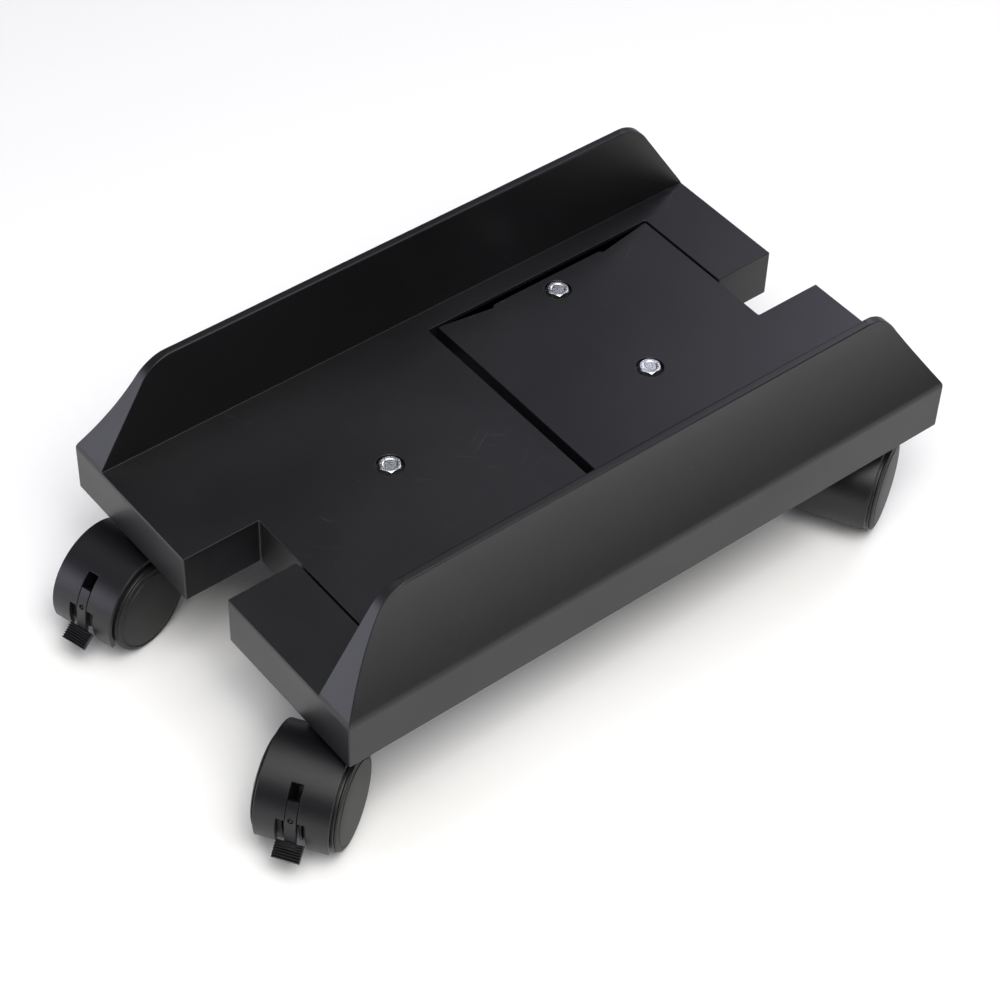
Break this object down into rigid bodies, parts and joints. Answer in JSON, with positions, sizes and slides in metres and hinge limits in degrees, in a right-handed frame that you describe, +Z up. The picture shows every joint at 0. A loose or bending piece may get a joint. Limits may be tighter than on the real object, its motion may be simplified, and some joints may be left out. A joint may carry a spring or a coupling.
{
  "type": "computer tower stand",
  "caption": "Rolling stand for a computer tower: moulded plastic halves with side walls slide together to set the width, on swivelling twin-wheel casters with front foot brakes.",
  "frame": {"origin": "on the floor, under the middle of the outer box of the stand", "axes": "+X across the width, from the left half to the right half; +Y along the length, from the braked front end to the rear; +Z up"},
  "size_m": [0.2518, 0.4532, 0.1529],
  "materials": {
    "moulded_black": "satin moulded plastic, very fine texture",
    "caster_black": "satin moulded nylon",
    "lever_black": "satin moulded nylon",
    "wheel_black": "satin nylon tread",
    "cap_black": "satin moulded nylon",
    "zinc": "bright zinc plate",
    "steel": "bright steel"
  },
  "bodies": {
    "left_half": {"left_tray": "moulded_black", "left_side_wall": "moulded_black", "left_runner": "moulded_black", "left_bolt_1": "zinc", "left_washer_1": "zinc", "left_nut_1": "zinc", "left_bolt_2": "zinc", "left_washer_2": "zinc", "left_nut_2": "zinc", "left_front_grip_ring": "steel", "left_rear_grip_ring": "steel"},
    "right_half": {"right_tray": "moulded_black", "right_side_wall": "moulded_black", "right_runner": "moulded_black", "right_bolt_1": "zinc", "right_washer_1": "zinc", "right_nut_1": "zinc", "right_bolt_2": "zinc", "right_washer_2": "zinc", "right_nut_2": "zinc", "right_front_grip_ring": "steel", "right_rear_grip_ring": "steel"},
    "left_front_caster": {"left_front_caster_body": "caster_black", "left_front_caster_stem": "steel", "left_front_caster_axle": "steel", "left_front_brake_pin": "steel"},
    "left_front_wheel_inner": {"left_front_wheel_inner": "wheel_black", "left_front_wheel_cap_inner": "cap_black"},
    "left_front_wheel_outer": {"left_front_wheel_outer": "wheel_black", "left_front_wheel_cap_outer": "cap_black"},
    "left_front_brake": {"left_front_brake_lever": "lever_black"},
    "right_front_caster": {"right_front_caster_body": "caster_black", "right_front_caster_stem": "steel", "right_front_caster_axle": "steel", "right_front_brake_pin": "steel"},
    "right_front_wheel_inner": {"right_front_wheel_inner": "wheel_black", "right_front_wheel_cap_inner": "cap_black"},
    "right_front_wheel_outer": {"right_front_wheel_outer": "wheel_black", "right_front_wheel_cap_outer": "cap_black"},
    "right_front_brake": {"right_front_brake_lever": "lever_black"},
    "right_rear_caster": {"right_rear_caster_body": "caster_black", "right_rear_caster_stem": "steel", "right_rear_caster_axle": "steel"},
    "right_rear_wheel_inner": {"right_rear_wheel_inner": "wheel_black", "right_rear_wheel_cap_inner": "cap_black"},
    "right_rear_wheel_outer": {"right_rear_wheel_outer": "wheel_black", "right_rear_wheel_cap_outer": "cap_black"},
    "left_rear_caster": {"left_rear_caster_body": "caster_black", "left_rear_caster_stem": "steel", "left_rear_caster_axle": "steel"},
    "left_rear_wheel_inner": {"left_rear_wheel_inner": "wheel_black", "left_rear_wheel_cap_inner": "cap_black"},
    "left_rear_wheel_outer": {"left_rear_wheel_outer": "wheel_black", "left_rear_wheel_cap_outer": "cap_black"}
  },
  "joints": [
    {"name": "width_adjust", "type": "slide", "parent": "left_half", "child": "right_half", "axis": [1, 0, 0], "range_m": [0, 0.055]},
    {"name": "left_front_swivel", "type": "hinge", "parent": "left_half", "child": "left_front_caster", "pos_m": [-0.08802, -0.16424, 0.0268], "axis": [0, 0, 1], "continuous": true},
    {"name": "left_front_wheel_inner_spin", "type": "hinge", "parent": "left_front_caster", "child": "left_front_wheel_inner", "pos_m": [-0.08148, -0.18733, 0.0268], "axis": [0.9622, 0.2723, 0], "continuous": true},
    {"name": "left_front_wheel_outer_spin", "type": "hinge", "parent": "left_front_caster", "child": "left_front_wheel_outer", "pos_m": [-0.08148, -0.18733, 0.0268], "axis": [0.9622, 0.2723, 0], "continuous": true},
    {"name": "left_front_brake_press", "type": "hinge", "parent": "left_front_caster", "child": "left_front_brake", "pos_m": [-0.07562, -0.20804, 0.03878], "axis": [0.9622, 0.2723, 0], "range_deg": [0, 8]},
    {"name": "right_front_swivel", "type": "hinge", "parent": "right_half", "child": "right_front_caster", "pos_m": [0.07898, -0.16424, 0.0268], "axis": [0, 0, 1], "continuous": true},
    {"name": "right_front_wheel_inner_spin", "type": "hinge", "parent": "right_front_caster", "child": "right_front_wheel_inner", "pos_m": [0.0923, -0.18421, 0.0268], "axis": [0.832, 0.5548, 0], "continuous": true},
    {"name": "right_front_wheel_outer_spin", "type": "hinge", "parent": "right_front_caster", "child": "right_front_wheel_outer", "pos_m": [0.0923, -0.18421, 0.0268], "axis": [0.832, 0.5548, 0], "continuous": true},
    {"name": "right_front_brake_press", "type": "hinge", "parent": "right_front_caster", "child": "right_front_brake", "pos_m": [0.10424, -0.20211, 0.03878], "axis": [0.832, 0.5548, 0], "range_deg": [0, 8]},
    {"name": "right_rear_swivel", "type": "hinge", "parent": "right_half", "child": "right_rear_caster", "pos_m": [0.07898, 0.20916, 0.0268], "axis": [0, 0, 1], "continuous": true},
    {"name": "right_rear_wheel_inner_spin", "type": "hinge", "parent": "right_rear_caster", "child": "right_rear_wheel_inner", "pos_m": [0.0908, 0.18827, 0.0268], "axis": [0.8704, 0.4924, 0], "continuous": true},
    {"name": "right_rear_wheel_outer_spin", "type": "hinge", "parent": "right_rear_caster", "child": "right_rear_wheel_outer", "pos_m": [0.0908, 0.18827, 0.0268], "axis": [0.8704, 0.4924, 0], "continuous": true},
    {"name": "left_rear_swivel", "type": "hinge", "parent": "left_half", "child": "left_rear_caster", "pos_m": [-0.08802, 0.20916, 0.0268], "axis": [0, 0, 1], "continuous": true},
    {"name": "left_rear_wheel_inner_spin", "type": "hinge", "parent": "left_rear_caster", "child": "left_rear_wheel_inner", "pos_m": [-0.07788, 0.18741, 0.0268], "axis": [0.9063, 0.4226, 0], "continuous": true},
    {"name": "left_rear_wheel_outer_spin", "type": "hinge", "parent": "left_rear_caster", "child": "left_rear_wheel_outer", "pos_m": [-0.07788, 0.18741, 0.0268], "axis": [0.9063, 0.4226, 0], "continuous": true}
  ]
}
